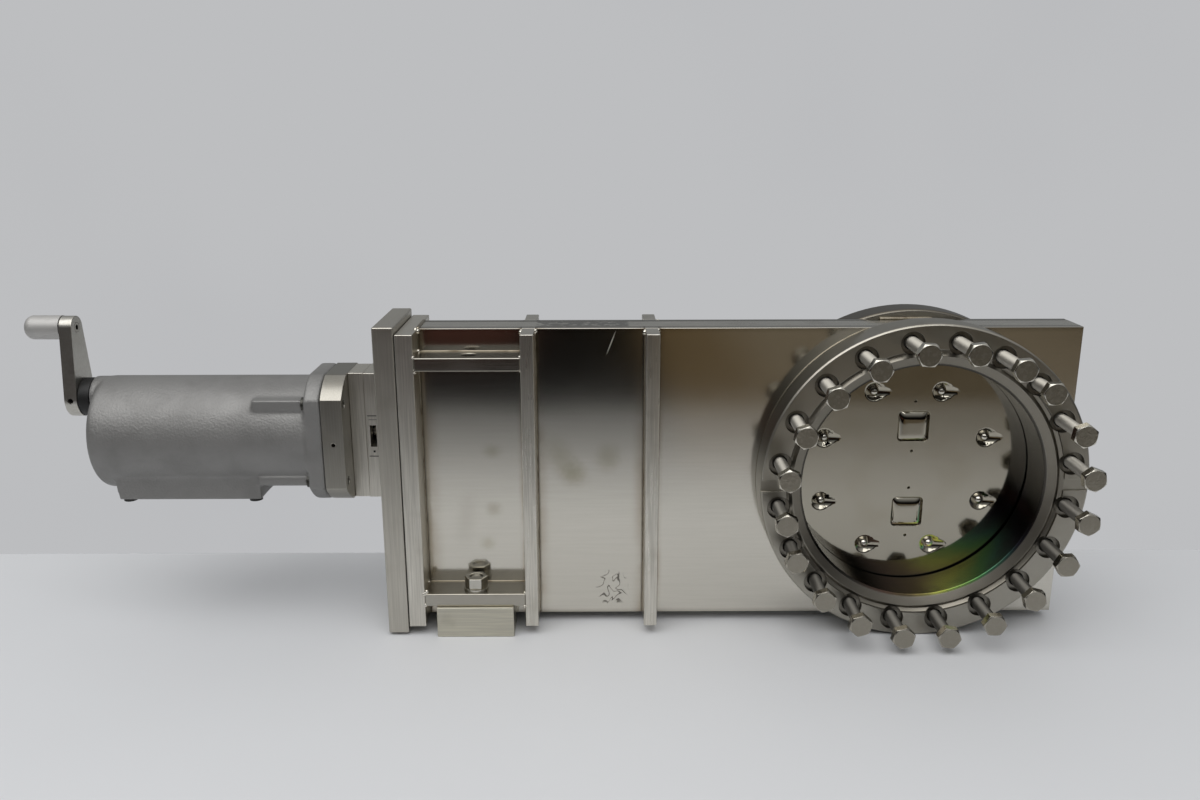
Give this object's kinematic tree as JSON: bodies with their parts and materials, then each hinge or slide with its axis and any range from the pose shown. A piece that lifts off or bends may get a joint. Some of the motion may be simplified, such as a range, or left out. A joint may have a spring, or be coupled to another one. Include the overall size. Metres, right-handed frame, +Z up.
{
  "type": "vacuum gate valve",
  "caption": "Flat welded vacuum gate valve with bolted port flanges, a sliding gate between them and a hand crank on a cast actuator housing.",
  "frame": {"origin": "centre of the rear port flange's sealing face, on the port axis", "axes": "+X from the crank towards the ports along the valve's length, +Y out of the rear port along the port axis, +Z up"},
  "size_m": [0.6574, 0.1037, 0.2025],
  "materials": {
    "stainless_sheet": "polished, with grind marks and weld tint",
    "stainless_plate": "ground",
    "stainless_foot": "sawn and stained",
    "fasteners": "as forged",
    "gasket": "matt",
    "cast_aluminium": "bead blasted",
    "pads": "matt",
    "black_plastic": "matt",
    "crank_steel": "machined",
    "knob_aluminium": "turned",
    "gate_steel": "mirror polished"
  },
  "bodies": {
    "valve": {"front_plate": "stainless_sheet", "rear_plate": "stainless_sheet", "top_rail": "stainless_sheet", "bottom_rail": "stainless_sheet", "end_rail": "stainless_sheet", "front_flange": "stainless_plate", "rear_flange": "stainless_plate", "flange_bolts": "fasteners", "front_ribs": "stainless_plate", "rear_ribs": "stainless_plate", "front_top_bar": "stainless_plate", "front_bottom_bar": "stainless_plate", "rear_top_bar": "stainless_plate", "rear_bottom_bar": "stainless_plate", "front_foot": "stainless_foot", "rear_foot": "stainless_foot", "foot_studs": "fasteners", "foot_washers": "fasteners", "foot_nuts": "fasteners", "body_flange": "stainless_plate", "bonnet_gasket": "gasket", "bonnet_plate": "stainless_plate", "bonnet_screws": "fasteners", "neck_block": "stainless_plate", "neck_spacer": "stainless_plate", "adapter_plate": "stainless_plate", "actuator_casing": "cast_aluminium", "casing_screws": "fasteners", "casing_pads": "pads"},
    "crank": {"crank_hub": "black_plastic", "crank_arm": "crank_steel", "crank_set_screw": "fasteners", "knob_axle": "fasteners"},
    "knob": {"crank_knob": "knob_aluminium"},
    "gate": {"gate_front_disc": "gate_steel", "gate_rear_disc": "gate_steel", "gate_carriage": "gate_steel", "gate_stem": "gate_steel"}
  },
  "joints": [
    {"name": "gate_slide", "type": "slide", "parent": "valve", "child": "gate", "axis": [-1, 0, 0], "range_m": [0, 0.156]},
    {"name": "crank_turn", "type": "hinge", "parent": "valve", "child": "crank", "pos_m": [-0.5, -0.035, 0.0494], "axis": [-1, 0, 0], "range_deg": [-2900, 2900]},
    {"name": "knob_spin", "type": "hinge", "parent": "crank", "child": "knob", "pos_m": [-0.545, -0.035, 0.0938], "axis": [-1, 0, 0], "continuous": true}
  ],
  "couplings": [
    {"joint": "crank_turn", "follows": "gate_slide", "rad_per_m": 322}
  ]
}
